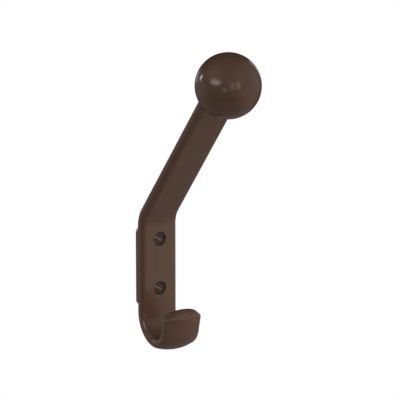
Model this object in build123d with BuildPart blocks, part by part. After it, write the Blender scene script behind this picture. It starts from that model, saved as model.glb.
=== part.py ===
from build123d import *

import os
from math import cos, radians, sin, sqrt, tan

# One-piece moulded hat and coat hook with a ball end, and the two screws that hold it to a wall

# Strap section: flat in front, crowned behind
strap_width = 26.2
strap_edge_thickness = 5.75
back_crown = 2.65
front_edge_radius = 3.6
back_edge_radius = 2.0

# Bends of the strap, measured on its front face
bend_radius = 13.4

# Wall pad that stands out behind the strap
pad_height = 2.75
pad_width = 25.0
pad_length = 49.2
pad_corner_radius = 2.5
pad_drop = 1.8

# Arm and ball
arm_bend_height = 29.05
arm_angle = 40.0
ball_reach = 124.8
ball_setback = 2.45
ball_diameter = 40.0

# Lower hook and its domed lip
hook_bend_height = -30.2
hook_front_radius = 6.7
lip_lean = 13.3
lip_straight = 9.9
lip_dome = 5.6
lip_crest = 2.1
lip_edge_radius = 1.5
dome_margin = 0.3
dome_root = 1.0
dome_stations = (-1, -0.7, 0, 0.7, 1)

# Screws and the recessed holes they sit in
screw_spacing = 32.0
screw_length = 20.0
shank_diameter = 4.0
thread_diameter = 3.4
head_diameter = 8.0
head_rim = 0.6
head_recess = 1.0
tip_length = 4.0
tip_diameter = 0.6
slot_width = 1.1
slot_depth = 1.2
slot_angle = -28.0
hole_clearance = 0.25
seat_clearance = 0.05
hole_rim_chamfer = 0.4

# Places worked out from the sizes above
half_width = strap_width / 2
full_thickness = strap_edge_thickness + back_crown
front_y = -(pad_height + strap_edge_thickness)
across = Vector(1, 0, 0)
arm_lean = radians(arm_angle)
arm_up = Vector(0, -sin(arm_lean), cos(arm_lean))
arm_inward = Vector(0, cos(arm_lean), sin(arm_lean))
bend_corner = Vector(0, front_y, arm_bend_height)
arm_top = bend_corner + arm_up * ball_reach
arm_foot = bend_corner + arm_up * (bend_radius * tan(arm_lean / 2))
ball_centre = arm_top + arm_inward * ball_setback
lip_up = Vector(0, -sin(radians(lip_lean)), cos(radians(lip_lean)))
lip_outward = Vector(0, -cos(radians(lip_lean)), -sin(radians(lip_lean)))


def strap_section(plane: Plane) -> Sketch:
    """Strap outline on a plane whose origin is on the front face, with Y pointing out of that face."""
    with BuildSketch(plane) as section:
        with BuildLine():
            back_right = (half_width, -strap_edge_thickness)
            back_left = (-half_width, -strap_edge_thickness)
            Polyline(back_left, (-half_width, 0), (half_width, 0), back_right)
            ThreePointArc(back_right, (0, -full_thickness), back_left)
        make_face()
        fillet(section.vertices().sort_by(Axis.Y)[2:], radius=front_edge_radius)
        fillet(section.vertices().sort_by(Axis.Y)[:2], radius=back_edge_radius)
    return section.sketch


# Line of the strap's front face, from the ball down the arm and plate, then round and up the lip
with BuildLine(Plane.YZ) as strap_line:
    arm_line = Line((arm_top.Y, arm_top.Z), (arm_foot.Y, arm_foot.Z))
    upper_bend = JernArc(arm_line @ 1, arm_line % 1, bend_radius, -arm_angle)
    plate_line = Line(upper_bend @ 1, (front_y, hook_bend_height))
    back_bend = JernArc(plate_line @ 1, plate_line % 1, bend_radius, -90)
    front_bend = JernArc(back_bend @ 1, back_bend % 1, hook_front_radius, lip_lean - 90)
    PolarLine(front_bend @ 1, lip_straight, direction=front_bend % 1)
strap_path = strap_line.wire()
lip_end = strap_path @ 1

# Domed end of the lip: crest close to its inner face, falling towards both sides and the front
with BuildPart() as lip_cap:
    crest = (lip_crest, 0)
    outer_run = full_thickness - lip_crest + dome_margin
    inner_run = lip_crest + dome_margin
    for station in dome_stations:
        rise = lip_dome * sqrt(1 - (station * half_width / (half_width + dome_margin)) ** 2)
        place = lip_end + across * (station * half_width)
        with BuildSketch(Plane(place, x_dir=lip_outward, z_dir=-across)):
            with BuildLine():
                outer = EllipticalCenterArc(crest, outer_run, rise, start_angle=0, arc_size=90)
                inner = EllipticalCenterArc(crest, inner_run, rise, start_angle=90, arc_size=90)
                Polyline(inner @ 1, inner @ 1 - (0, dome_root), outer @ 0 - (0, dome_root), outer @ 0)
            make_face()
    loft()
    extrude(strap_section(Plane(lip_end, x_dir=across, z_dir=lip_up)), amount=lip_dome, mode=Mode.INTERSECT)

# Arm, plate, wall pad, lower hook and ball: one moulding, with two recessed screw holes
with BuildPart() as hook_body:
    sweep(strap_section(Plane(arm_top, x_dir=across, z_dir=-arm_up)), path=strap_path)
    add(lip_cap.part)
    dome = hook_body.faces().filter_by(GeomType.BSPLINE)
    crest_line = dome.edges().sort_by(Axis.Z)[-1]
    fillet(dome.edges().filter_by(lambda edge: not edge.is_same(crest_line)), radius=lip_edge_radius)
    with BuildSketch(Plane.XZ):
        with Locations((0, -pad_drop)):
            RectangleRounded(pad_width, pad_length, pad_corner_radius)
    extrude(amount=pad_height + strap_edge_thickness / 2)
    with Locations(Plane(ball_centre, x_dir=across, z_dir=arm_up)):
        Sphere(ball_diameter / 2)
    recess_radius = head_diameter / 2 + hole_clearance
    recess_depth = head_recess + head_rim - hole_clearance + seat_clearance
    with Locations(Plane.XZ.offset(-front_y)):
        with GridLocations(0, screw_spacing, 1, 2):
            Hole(recess_radius, depth=recess_depth)
    rims = hook_body.edges(Select.LAST).filter_by(GeomType.CIRCLE).sort_by(Axis.Y)[:2]
    chamfer(rims, length=hole_rim_chamfer)
    with Locations(Plane.XZ.offset(-front_y - recess_depth)):
        with GridLocations(0, screw_spacing, 1, 2):
            CounterSinkHole(shank_diameter / 2 + hole_clearance, recess_radius, counter_sink_angle=90)
hook_body.part.label = "hook_body"

# Two slotted countersunk wood screws, seated in the recesses
with BuildPart() as wall_screws:
    head_y = front_y + head_recess
    cone_end = head_y + head_rim + (head_diameter - shank_diameter) / 2
    tip_y = head_y + screw_length
    for height in (screw_spacing / 2, -screw_spacing / 2):
        with BuildSketch(Plane.XY.offset(height)):
            with BuildLine():
                Polyline(
                    (0, head_y),
                    (head_diameter / 2, head_y),
                    (head_diameter / 2, head_y + head_rim),
                    (shank_diameter / 2, cone_end),
                    (shank_diameter / 2, 0),
                    (thread_diameter / 2, 0),
                    (thread_diameter / 2, tip_y - tip_length),
                    (tip_diameter / 2, tip_y),
                    (0, tip_y),
                    close=True,
                )
            make_face()
        revolve(axis=Axis((0, 0, height), (0, 1, 0)))
    with BuildSketch(Plane.XZ.offset(-head_y)):
        with GridLocations(0, screw_spacing, 1, 2):
            Rectangle(head_diameter + slot_width, slot_width, rotation=slot_angle)
    extrude(amount=-slot_depth, mode=Mode.SUBTRACT)
wall_screws.part.label = "wall_screws"

os.makedirs("parts", exist_ok=True)
export_step(hook_body.part, "parts/hook_body.step")
export_step(wall_screws.part, "parts/wall_screws.step")
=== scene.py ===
"""Moulded brown hat and coat hook with its two wall screws, finished and lit on a plain white ground."""

import logging
import math
from dataclasses import dataclass
from enum import Enum

import bmesh
import bpy
from mathutils import Matrix, Vector


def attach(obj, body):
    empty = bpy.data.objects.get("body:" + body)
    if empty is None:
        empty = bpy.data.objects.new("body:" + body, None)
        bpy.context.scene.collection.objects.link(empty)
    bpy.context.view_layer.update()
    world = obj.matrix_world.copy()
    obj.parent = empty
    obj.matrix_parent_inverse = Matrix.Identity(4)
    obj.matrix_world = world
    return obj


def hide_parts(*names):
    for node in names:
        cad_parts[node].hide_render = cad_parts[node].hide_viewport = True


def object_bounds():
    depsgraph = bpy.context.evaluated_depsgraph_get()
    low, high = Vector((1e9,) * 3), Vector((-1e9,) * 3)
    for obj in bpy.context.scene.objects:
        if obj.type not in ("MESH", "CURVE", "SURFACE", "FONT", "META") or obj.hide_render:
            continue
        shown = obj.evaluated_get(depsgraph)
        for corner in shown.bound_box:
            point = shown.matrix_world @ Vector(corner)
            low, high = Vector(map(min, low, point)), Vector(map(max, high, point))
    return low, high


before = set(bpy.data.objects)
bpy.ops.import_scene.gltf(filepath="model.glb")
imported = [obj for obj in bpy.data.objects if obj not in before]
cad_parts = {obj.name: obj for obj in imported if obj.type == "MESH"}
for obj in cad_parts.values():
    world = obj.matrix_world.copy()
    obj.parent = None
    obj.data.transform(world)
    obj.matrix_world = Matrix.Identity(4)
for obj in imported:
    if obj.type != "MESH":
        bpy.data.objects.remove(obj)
cad_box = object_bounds()
log = logging.getLogger("coat_hook")

MM = 0.001
PHOTO_PIXELS = 400

Colour = tuple[float, float, float]
Socket = bpy.types.NodeSocket

WHITE: Colour = (1.0, 1.0, 1.0)

# Nearly all of a noise pattern lies between these values
NOISE_LOW = 0.3
NOISE_HIGH = 0.7

# Places of the colour sockets on a Mix node, whose names are not unique
MIX_SHARE = 0
MIX_UNDER = 6
MIX_OVER = 7
MIX_RESULT = 2


class Node(Enum):
    """The solids that the hook is built from."""

    HOOK = "hook_body"
    SCREWS = "wall_screws"


class Slot(Enum):
    """Names of the record's finishes."""

    SCREW = "brown_screw"


class Body(Enum):
    """The rigid bodies: nothing on the hook moves, so there is one."""

    ROOT = "root"


def rgba(colour: Colour) -> tuple[float, float, float, float]:
    """Adds full opacity to a colour."""
    return (*colour, 1.0)


def put(name: str, data: bpy.types.ID) -> bpy.types.Object:
    """Adds an object to the scene.

    Args:
        name: the object's name.
        data: its mesh, lamp or camera.

    Returns:
        The new object.
    """
    thing = bpy.data.objects.new(name, data)
    bpy.context.scene.collection.objects.link(thing)
    return thing


def finished_mesh(name: str, builder: bmesh.types.BMesh) -> bpy.types.Mesh:
    """Turns a mesh in the making into a finished one.

    Args:
        name: the mesh's name.
        builder: the mesh in the making, which is used up.

    Returns:
        The finished mesh.
    """
    mesh = bpy.data.meshes.new(name)
    builder.to_mesh(mesh)
    builder.free()
    return mesh


def towards(azimuth: float, elevation: float) -> Vector:
    """Works out a direction seen from the hook.

    Args:
        azimuth: degrees round from the front towards the right.
        elevation: degrees above the horizon.

    Returns:
        The direction, one unit long.
    """
    turn = math.radians(azimuth)
    lift = math.radians(elevation)
    return Vector((math.sin(turn) * math.cos(lift), -math.cos(turn) * math.cos(lift), math.sin(lift)))


class Graph:
    """A node tree with short ways to add nodes and join them."""

    def __init__(self, tree: bpy.types.NodeTree) -> None:
        """Empties the tree and keeps it."""
        tree.nodes.clear()
        self.tree = tree

    def add(
        self, kind: str, sockets: dict[str, object] | None = None, **settings: object
    ) -> bpy.types.Node:
        """Adds one node.

        Args:
            kind: the node's type, as the program names it.
            sockets: values for input sockets, by name.
            settings: values for the node's own properties.

        Returns:
            The new node.
        """
        node = self.tree.nodes.new(kind)
        for name, value in settings.items():
            setattr(node, name, value)
        for name, value in (sockets or {}).items():
            node.inputs[name].default_value = value
        return node

    def join(self, source: Socket, target: Socket) -> None:
        """Links an output to an input."""
        self.tree.links.new(source, target)

    def noise(self, place: Socket, grain: float, detail: float) -> Socket:
        """Adds a noise pattern.

        Args:
            place: the coordinates that it follows.
            grain: the size of its grains, in metres.
            detail: how many finer layers lie over it.

        Returns:
            The pattern's value, from 0 to 1.
        """
        node = self.add("ShaderNodeTexNoise", {"Scale": 1 / grain, "Detail": detail})
        self.join(place, node.inputs["Vector"])
        return node.outputs["Fac"]

    def spread(self, pattern: Socket, low: float, high: float) -> Socket:
        """Maps the middle of a noise pattern to a range.

        Args:
            pattern: the noise.
            low: the result where the pattern is low.
            high: the result where the pattern is high.

        Returns:
            The mapped value.
        """
        limits = {"From Min": NOISE_LOW, "From Max": NOISE_HIGH, "To Min": low, "To Max": high}
        node = self.add("ShaderNodeMapRange", limits)
        self.join(pattern, node.inputs["Value"])
        return node.outputs["Result"]

    def step(self, along: Socket, start: float, end: float, height: float = 1.0) -> Socket:
        """Adds a soft step up from zero.

        Args:
            along: the value that the step follows.
            start: where it leaves zero.
            end: where it reaches its height.
            height: its full height.

        Returns:
            The stepped value.
        """
        limits = {"From Min": start, "From Max": end, "To Max": height}
        node = self.add("ShaderNodeMapRange", limits, interpolation_type="SMOOTHSTEP")
        self.join(along, node.inputs["Value"])
        return node.outputs["Result"]

    def combine(self, operation: str, first: Socket, second: Socket | float) -> Socket:
        """Works out one value from two.

        Args:
            operation: what is done with them, as the program names it.
            first: the first value.
            second: the second value, or a plain number.

        Returns:
            The result.
        """
        node = self.add("ShaderNodeMath", operation=operation)
        self.join(first, node.inputs[0])
        if isinstance(second, float):
            node.inputs[1].default_value = second
        else:
            self.join(second, node.inputs[1])
        return node.outputs["Value"]

    def overlay(self, mask: Socket, under: Socket, over: Colour) -> Socket:
        """Lays a colour over a pattern.

        Args:
            mask: where the colour shows, from 0 to 1.
            under: the pattern.
            over: the colour.

        Returns:
            The layered colour.
        """
        node = self.add("ShaderNodeMix", data_type="RGBA")
        node.inputs[MIX_OVER].default_value = rgba(over)
        self.join(mask, node.inputs[MIX_SHARE])
        self.join(under, node.inputs[MIX_UNDER])
        return node.outputs[MIX_RESULT]


@dataclass(frozen=True)
class Finish:
    """A surface that varies a little in tone and roughness, with a fine relief."""

    name: str
    dark: Colour
    light: Colour
    tone_grain: float
    roughness: tuple[float, float]
    roughness_grain: float
    relief_grain: float
    relief_depth: float
    relief_strength: float
    specular: float
    tone_detail: float = 3.0
    fine_detail: float = 2.0

    def material(self) -> bpy.types.Material:
        """Builds the material.

        Returns:
            A node material with this finish.
        """
        material = bpy.data.materials.new(self.name)
        material.use_nodes = True
        graph = Graph(material.node_tree)
        place = graph.add("ShaderNodeTexCoord").outputs["Object"]
        shader = graph.add("ShaderNodeBsdfPrincipled", {"Specular IOR Level": self.specular})
        tones = graph.add("ShaderNodeValToRGB")
        tones.color_ramp.elements[0].color = rgba(self.dark)
        tones.color_ramp.elements[1].color = rgba(self.light)
        tone = graph.noise(place, self.tone_grain, self.tone_detail)
        graph.join(graph.spread(tone, 0.0, 1.0), tones.inputs["Fac"])
        graph.join(tones.outputs["Color"], shader.inputs["Base Color"])
        self.paint_wear_and_highlight(graph, place, shader)
        roughness = graph.noise(place, self.roughness_grain, self.fine_detail)
        graph.join(graph.spread(roughness, *self.roughness), shader.inputs["Roughness"])
        depths = {"Strength": self.relief_strength, "Distance": self.relief_depth}
        relief = graph.add("ShaderNodeBump", depths)
        graph.join(graph.noise(place, self.relief_grain, self.fine_detail), relief.inputs["Height"])
        graph.join(relief.outputs["Normal"], shader.inputs["Normal"])
        output = graph.add("ShaderNodeOutputMaterial")
        graph.join(shader.outputs["BSDF"], output.inputs["Surface"])
        return material

    def paint_wear_and_highlight(self, graph: Graph, place: Socket, shader: bpy.types.Node) -> None:
        """Leaves the finish whole, with no rubbed band and no painted highlight."""


@dataclass(frozen=True)
class LacquerSlotHighlightFinish(Finish):
    """A lacquer on metal, with a lighter, metallic band at the depth of the driver's slot: lacquer rubbed
    through by the driver, and a painted highlight along the slot.
    """

    # Lighter than the lacquer, so that it paints the slot's bright line: a painted highlight, standing also
    # for metal rubbed through by the driver
    bare_and_highlight_colour: Colour = (0.26, 0.19, 0.15)
    worn_highlight_depth: float = -6.8 * MM
    worn_highlight_reach: float = 0.6 * MM

    def paint_wear_and_highlight(self, graph: Graph, place: Socket, shader: bpy.types.Node) -> None:
        """Lays a lighter, metallic band at the slot's depth: rubbed-through lacquer and a painted highlight
        along the slot.

        Args:
            graph: the material's tree.
            place: the coordinates on the screws.
            shader: the node that the lacquer's colour goes to.
        """
        axes = graph.add("ShaderNodeSeparateXYZ")
        graph.join(place, axes.inputs["Vector"])
        worn_highlight_band = graph.add("ShaderNodeMath", operation="COMPARE")
        depth, middle, reach = worn_highlight_band.inputs
        middle.default_value = self.worn_highlight_depth
        reach.default_value = self.worn_highlight_reach
        graph.join(axes.outputs["Y"], depth)
        mask = worn_highlight_band.outputs["Value"]
        colour = shader.inputs["Base Color"]
        lacquer = colour.links[0].from_socket
        # Painted highlight: this lighter, metallic colour makes the bright line along the slot
        graph.join(graph.overlay(mask, lacquer, self.bare_and_highlight_colour), colour)
        graph.join(mask, shader.inputs["Metallic"])


PLASTIC_FINISH = Finish(
    name="moulded_brown_plastic",
    dark=(0.094, 0.050, 0.033),
    light=(0.104, 0.056, 0.038),
    tone_grain=9 * MM,
    roughness=(0.16, 0.20),
    roughness_grain=3 * MM,
    relief_grain=0.9 * MM,
    relief_depth=0.05 * MM,
    relief_strength=0.01,
    specular=0.35,
)

SCREW_FINISH = LacquerSlotHighlightFinish(
    name="brown_lacquered_screw",
    dark=(0.030, 0.016, 0.010),
    light=(0.046, 0.025, 0.017),
    tone_grain=1.5 * MM,
    roughness=(0.26, 0.36),
    roughness_grain=0.8 * MM,
    relief_grain=0.3 * MM,
    relief_depth=0.02 * MM,
    relief_strength=0.12,
    specular=0.3,
)


@dataclass
class HookBody:
    """The moulding: ball, arm, plate, wall pad and lower hook in one piece."""

    finish: Finish = PLASTIC_FINISH

    def dress(self) -> bpy.types.Object:
        """Gives the moulding its finish.

        Returns:
            The moulding.
        """
        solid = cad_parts[Node.HOOK.value]
        solid.material_slots[0].material = self.finish.material()
        return solid


@dataclass
class WallScrews:
    """Two slotted countersunk wood screws, turned about the wall's normal, with a cut thread."""

    finish: Finish = SCREW_FINISH
    spacing: float = 32 * MM
    head_face: float = -7.5 * MM
    head_radius: float = 4.0 * MM
    head_rim: float = 0.6 * MM
    rim_rounding: float = 0.15 * MM
    shank_radius: float = 2.0 * MM
    shank_end: float = 0.0
    core_radius: float = 1.4 * MM
    thread_radius: float = 2.0 * MM
    thread_pitch: float = 1.75 * MM
    thread_share: float = 0.34
    taper: float = 4.0 * MM
    crest_fade: float = 0.5
    tip: float = 12.5 * MM
    tip_radius: float = 0.15 * MM
    slot_width: float = 1.1 * MM
    slot_depth: float = 1.2 * MM
    slot_angle: float = -28.0
    bar_length: float = 12.0 * MM
    face_rings: int = 4
    rim_rings: int = 3
    segments: int = 72
    rows_per_turn: int = 16
    sharp_angle: float = 35.0

    def head_rows(self) -> list[tuple[float, float]]:
        """Works out the turned outline from the middle of the head to the end of the plain shank.

        Returns:
            Places along the axis and radii, in order.
        """
        flat = self.head_radius - self.rim_rounding
        rows = [(self.head_face, flat * (ring + 1) / self.face_rings) for ring in range(self.face_rings)]
        for ring in range(self.rim_rings):
            turn = math.radians(90 * (ring + 1) / self.rim_rings)
            drop = self.rim_rounding * (1 - math.cos(turn))
            rows.append((self.head_face + drop, flat + self.rim_rounding * math.sin(turn)))
        cone_start = self.head_face + self.head_rim
        cone_end = cone_start + self.head_radius - self.shank_radius
        rows.append((cone_start, self.head_radius))
        rows.append((cone_end, self.shank_radius))
        rows.append((self.shank_end, self.shank_radius))
        return rows

    def thread_height(self, along: float, turn: float) -> float:
        """Works out the thread's radius at one point.

        Args:
            along: the distance from the start of the thread.
            turn: the angle about the axis, as a share of a full turn.

        Returns:
            The radius there.
        """
        length = self.tip - self.shank_end
        left = min(1.0, (length - along) / self.taper)
        run_in = min(1.0, along / self.thread_pitch)
        run_out = min(1.0, left / self.crest_fade)
        phase = (along / self.thread_pitch - turn) % 1.0
        ridge = max(0.0, 1.0 - abs(phase - 0.5) * 2 / self.thread_share)
        core = max(self.tip_radius, self.core_radius * left)
        crest = (self.thread_radius - self.core_radius) * ridge * run_in * run_out
        return core + crest

    def turns(self) -> list[float]:
        """Lists the points of a circle as shares of a full turn."""
        return [index / self.segments for index in range(self.segments)]

    def circles(self) -> list[list[tuple[float, float]]]:
        """Works out the whole outline, point by point.

        Returns:
            Circles from head to tip, each with its points' places along the axis and radii.
        """
        circles = [[row] * self.segments for row in self.head_rows()]
        length = self.tip - self.shank_end
        steps = round(length / self.thread_pitch * self.rows_per_turn)
        for step in range(steps + 1):
            along = length * step / steps
            place = self.shank_end + along
            circles.append([(place, self.thread_height(along, turn)) for turn in self.turns()])
        return circles

    def lathe(self, height: float) -> bpy.types.Mesh:
        """Turns one screw, with its axis along Y.

        Args:
            height: the axis's place up the wall.

        Returns:
            A closed mesh.
        """
        builder = bmesh.new()
        rings = []
        for circle in self.circles():
            ring = []
            for turn, (along, radius) in zip(self.turns(), circle):
                angle = math.tau * turn
                spot = (radius * math.cos(angle), along, height + radius * math.sin(angle))
                ring.append(builder.verts.new(spot))
            rings.append(ring)
        for ring, following in zip(rings, rings[1:]):
            for index in range(self.segments):
                ahead = (index + 1) % self.segments
                builder.faces.new((ring[index], ring[ahead], following[ahead], following[index]))
        for ring, along in ((rings[0], self.head_face), (rings[-1], self.tip)):
            middle = builder.verts.new((0, along, height))
            for index in range(self.segments):
                builder.faces.new((ring[index], ring[(index + 1) % self.segments], middle))
        bmesh.ops.recalc_face_normals(builder, faces=builder.faces)
        return finished_mesh("turned_screw", builder)

    def slot_bar(self, height: float) -> bpy.types.Object:
        """Makes the bar that cuts the driver's slot.

        Args:
            height: the screw's place up the wall.

        Returns:
            The bar, centred on the face of the head, so that half of its depth cuts.
        """
        builder = bmesh.new()
        bmesh.ops.create_cube(builder, size=1.0)
        size = Matrix.Diagonal((self.bar_length, self.slot_depth * 2, self.slot_width, 1))
        turn = Matrix.Rotation(-math.radians(self.slot_angle), 4, "Y")
        place = Matrix.Translation((0, self.head_face, height))
        bmesh.ops.transform(builder, matrix=place @ turn @ size, verts=builder.verts)
        return put("slot_bar", finished_mesh("slot_bar", builder))

    def cut(self, screw: bpy.types.Object, bar: bpy.types.Object) -> None:
        """Cuts the slot and drops the bar.

        Args:
            screw: the screw to cut.
            bar: the bar that is taken away.
        """
        change = screw.modifiers.new("slot", "BOOLEAN")
        change.operation = "DIFFERENCE"
        change.solver = "EXACT"
        change.object = bar
        depsgraph = bpy.context.evaluated_depsgraph_get()
        screw.data = bpy.data.meshes.new_from_object(screw.evaluated_get(depsgraph))
        screw.modifiers.clear()
        bpy.data.objects.remove(bar)

    def build(self) -> bpy.types.Object:
        """Makes both screws as one piece, in the place of their solids.

        Returns:
            The piece.
        """
        whole = bmesh.new()
        for height in (self.spacing / 2, -self.spacing / 2):
            screw = put("one_screw", self.lathe(height))
            self.cut(screw, self.slot_bar(height))
            whole.from_mesh(screw.data)
            bpy.data.objects.remove(screw)
        mesh = finished_mesh("threaded_wall_screws", whole)
        for face in mesh.polygons:
            face.use_smooth = True
        mesh.set_sharp_from_angle(angle=math.radians(self.sharp_angle))
        mesh.materials.append(self.finish.material())
        piece = put("threaded_wall_screws", mesh)
        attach(piece, Body.ROOT.value)
        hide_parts(Node.SCREWS.value)
        return piece


@dataclass(frozen=True)
class Softbox:
    """A rectangular studio lamp that faces the hook, and shows in its gloss unless it is a fill."""

    name: str
    azimuth: float
    elevation: float
    distance: float
    width: float
    height: float
    brightness: float
    mirrored: bool = True

    def place(self, centre: Vector) -> bpy.types.Object:
        """Hangs the lamp.

        Args:
            centre: the point that it faces.

        Returns:
            The lamp.
        """
        direction = towards(self.azimuth, self.elevation)
        data = bpy.data.lights.new(self.name, "AREA")
        data.shape = "RECTANGLE"
        data.size = self.width
        data.size_y = self.height
        # A flat lamp's power is its brightness times pi times its area
        data.energy = self.brightness * math.pi * self.width * self.height
        lamp = put(self.name, data)
        lamp.location = centre + direction * self.distance
        lamp.rotation_mode = "QUATERNION"
        lamp.rotation_quaternion = direction.to_track_quat("Z", "Y")
        lamp.visible_camera = False
        lamp.visible_glossy = self.mirrored
        return lamp


@dataclass(frozen=True)
class Glow:
    """A soft oval of light in the room round the hook. Its flatness is its width over its height."""

    name: str
    azimuth: float
    elevation: float
    reach: float
    brightness: float
    flatness: float = 1.5

    def shine(self, graph: Graph, ray: Socket) -> Socket:
        """Adds the glow to the world's nodes.

        Args:
            graph: the world's tree.
            ray: the direction that a ray looks in.

        Returns:
            The glow's brightness in that direction.
        """
        stretch = Vector((1.0, 1.0, self.flatness))
        flat = graph.add("ShaderNodeVectorMath", operation="MULTIPLY")
        flat.inputs[1].default_value = stretch
        graph.join(ray, flat.inputs[0])
        unit = graph.add("ShaderNodeVectorMath", operation="NORMALIZE")
        graph.join(flat.outputs["Vector"], unit.inputs[0])
        facing = graph.add("ShaderNodeVectorMath", operation="DOT_PRODUCT")
        facing.inputs[1].default_value = (towards(self.azimuth, self.elevation) * stretch).normalized()
        graph.join(unit.outputs["Vector"], facing.inputs[0])
        edge = math.cos(math.radians(self.reach))
        return graph.step(facing.outputs["Value"], edge, 1.0, self.brightness)


@dataclass
class Surround:
    """The white ground behind the hook, in a dim room with a few soft glows."""

    glows: tuple[Glow, ...]
    tint: Colour = (1.0, 0.97, 0.94)
    dim: float = 0.02
    backdrop_edge: float = 0.985
    backdrop_core: float = 0.999

    def room(self, graph: Graph, ray: Socket) -> Socket:
        """Adds the glows to the dim room.

        Args:
            graph: the world's tree.
            ray: the direction that a ray looks in.

        Returns:
            The room's brightness in that direction.
        """
        total: Socket | float = self.dim
        for glow in self.glows:
            total = graph.combine("ADD", glow.shine(graph, ray), total)
        return total

    def white_share(self, graph: Graph, ray: Socket) -> Socket:
        """Works out where the white ground shows.

        Args:
            graph: the world's tree.
            ray: the direction that a ray looks in.

        Returns:
            The share of white: all of it to the camera, and in gloss only straight behind the hook.
        """
        axes = graph.add("ShaderNodeSeparateXYZ")
        graph.join(ray, axes.inputs["Vector"])
        behind = graph.step(axes.outputs["Y"], self.backdrop_edge, self.backdrop_core)
        rays = graph.add("ShaderNodeLightPath").outputs
        mirrored = graph.combine("MAXIMUM", rays["Is Glossy Ray"], rays["Is Transmission Ray"])
        in_gloss = graph.combine("MULTIPLY", mirrored, behind)
        return graph.combine("MAXIMUM", in_gloss, rays["Is Camera Ray"])

    def build(self) -> bpy.types.World:
        """Makes the world.

        Returns:
            The world, in use.
        """
        world = bpy.data.worlds.new("white_studio")
        bpy.context.scene.world = world
        world.use_nodes = True
        graph = Graph(world.node_tree)
        ray = graph.add("ShaderNodeTexCoord").outputs["Generated"]
        lit = graph.add("ShaderNodeBackground", {"Color": rgba(self.tint)})
        graph.join(self.room(graph, ray), lit.inputs["Strength"])
        white = graph.add("ShaderNodeBackground", {"Color": rgba(WHITE), "Strength": 1.0})
        choice = graph.add("ShaderNodeMixShader")
        graph.join(self.white_share(graph, ray), choice.inputs["Fac"])
        graph.join(lit.outputs["Background"], choice.inputs[1])
        graph.join(white.outputs["Background"], choice.inputs[2])
        output = graph.add("ShaderNodeOutputWorld")
        graph.join(choice.outputs["Shader"], output.inputs["Surface"])
        return world


@dataclass
class StudioFloor:
    """A round pale floor below the hook, whose rim fades into the white ground."""

    drop: float = 0.25
    radius: float = 0.70
    fade_start: float = 0.45
    segments: int = 96
    tone: Colour = (0.45, 0.45, 0.45)
    paleness: float = 0.65

    def material(self) -> bpy.types.Material:
        """Builds the floor's finish.

        Returns:
            A matt material, pale to the camera, that clears towards the rim so that the floor has no edge.
        """
        material = bpy.data.materials.new("pale_floor")
        material.use_nodes = True
        graph = Graph(material.node_tree)
        matt = graph.add("ShaderNodeBsdfDiffuse", {"Color": rgba(self.tone)})
        rays = graph.add("ShaderNodeLightPath").outputs
        glow = graph.add("ShaderNodeEmission", {"Color": rgba(WHITE)})
        graph.join(graph.combine("MULTIPLY", rays["Is Camera Ray"], self.paleness), glow.inputs["Strength"])
        pale = graph.add("ShaderNodeAddShader")
        graph.join(matt.outputs["BSDF"], pale.inputs[0])
        graph.join(glow.outputs["Emission"], pale.inputs[1])
        place = graph.add("ShaderNodeTexCoord").outputs["Object"]
        distance = graph.add("ShaderNodeVectorMath", operation="LENGTH")
        graph.join(place, distance.inputs[0])
        fade = graph.step(distance.outputs["Value"], self.fade_start, self.radius)
        clear = graph.add("ShaderNodeBsdfTransparent")
        blend = graph.add("ShaderNodeMixShader")
        graph.join(fade, blend.inputs["Fac"])
        graph.join(pale.outputs["Shader"], blend.inputs[1])
        graph.join(clear.outputs["BSDF"], blend.inputs[2])
        output = graph.add("ShaderNodeOutputMaterial")
        graph.join(blend.outputs["Shader"], output.inputs["Surface"])
        return material

    def build(self, foot: float) -> bpy.types.Object:
        """Lays the floor.

        Args:
            foot: the height of the hook's lowest point.

        Returns:
            The floor.
        """
        builder = bmesh.new()
        bmesh.ops.create_circle(builder, cap_ends=True, radius=self.radius, segments=self.segments)
        mesh = finished_mesh("floor", builder)
        mesh.materials.append(self.material())
        floor = put("floor", mesh)
        floor.location = (0, 0, foot - self.drop)
        return floor


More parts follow.
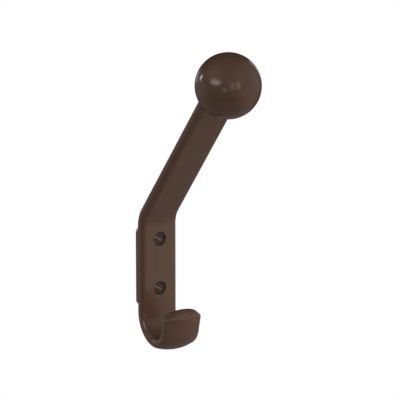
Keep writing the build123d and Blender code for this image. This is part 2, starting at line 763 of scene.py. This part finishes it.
@dataclass
class PhotoCamera:
    """The camera at the photograph's angle."""

    azimuth: float = -32.29
    elevation: float = 13.29
    distance: float = 1652.23 * MM
    focal_pixels: float = 2666.67
    aim_depth: float = -35.0 * MM
    aim_right: float = 10.98 * MM
    aim_up: float = 45.07 * MM
    sensor: float = 36.0

    def build(self) -> bpy.types.Object:
        """Places the camera and makes it the scene's own.

        Returns:
            The camera.
        """
        back = towards(self.azimuth, self.elevation)
        right = Vector((-back.y, back.x, 0)).normalized()
        up = back.cross(right)
        aim = Vector((0, self.aim_depth, 0)) + right * self.aim_right + up * self.aim_up
        data = bpy.data.cameras.new("photo_camera")
        data.sensor_width = self.sensor
        data.lens = self.focal_pixels * self.sensor / PHOTO_PIXELS
        camera = put("photo_camera", data)
        camera.location = aim + back * self.distance
        camera.rotation_mode = "QUATERNION"
        camera.rotation_quaternion = back.to_track_quat("Z", "Y")
        bpy.context.scene.camera = camera
        return camera


GLOWS = (
    Glow("front", azimuth=34, elevation=8, reach=92, brightness=0.58),
    Glow("left", azimuth=258, elevation=8, reach=75, brightness=0.22),
    Glow("rear_left", azimuth=214, elevation=-10, reach=50, brightness=0.28),
    Glow("high_left", azimuth=268, elevation=40, reach=40, brightness=0.42),
    Glow("side_window", azimuth=280, elevation=17, reach=19, brightness=4.8, flatness=3.0),
    Glow("front_window", azimuth=3, elevation=10, reach=9, brightness=2.0, flatness=0.5),
    Glow("near_left_window", azimuth=342, elevation=8, reach=9, brightness=1.5, flatness=0.5),
    Glow("far_left_window", azimuth=315, elevation=-4, reach=13, brightness=2.1, flatness=2.0),
)

LAMPS = (
    Softbox(
        "low_fill", azimuth=60, elevation=-20, distance=0.25,
        width=0.20, height=0.20, brightness=3.3, mirrored=False,
    ),
    Softbox(
        "high_fill", azimuth=40, elevation=50, distance=2.0,
        width=1.00, height=1.00, brightness=1.8, mirrored=False,
    ),
    Softbox(
        "rear_strip", azimuth=211, elevation=13, distance=2.0,
        width=0.20, height=0.30, brightness=13.0,
    ),
    Softbox(
        "rear_right_strip", azimuth=124, elevation=8, distance=2.0,
        width=0.10, height=0.70, brightness=3.0,
    ),
)


def main() -> None:
    """Builds the pieces in order, then the studio, and reports each one."""
    logging.basicConfig(level=logging.INFO, format="%(name)s: %(message)s")
    hook = HookBody().dress()
    log.info("%s dressed, %d faces", hook.name, len(hook.data.polygons))
    screws = WallScrews().build()
    log.info("%s built, %d faces", screws.name, len(screws.data.polygons))
    low, high = cad_box
    floor = StudioFloor().build(low.z)
    log.info("%s laid", floor.name)
    world = Surround(GLOWS).build()
    log.info("%s lit, %d glows", world.name, len(GLOWS))
    for lamp in LAMPS:
        lamp.place((low + high) / 2)
        log.info("%s hung", lamp.name)
    camera = PhotoCamera().build()
    log.info("%s placed", camera.name)
    bpy.context.scene.view_settings.view_transform = "Standard"
    log.info("sizes written")


if __name__ == "__main__":
    main()
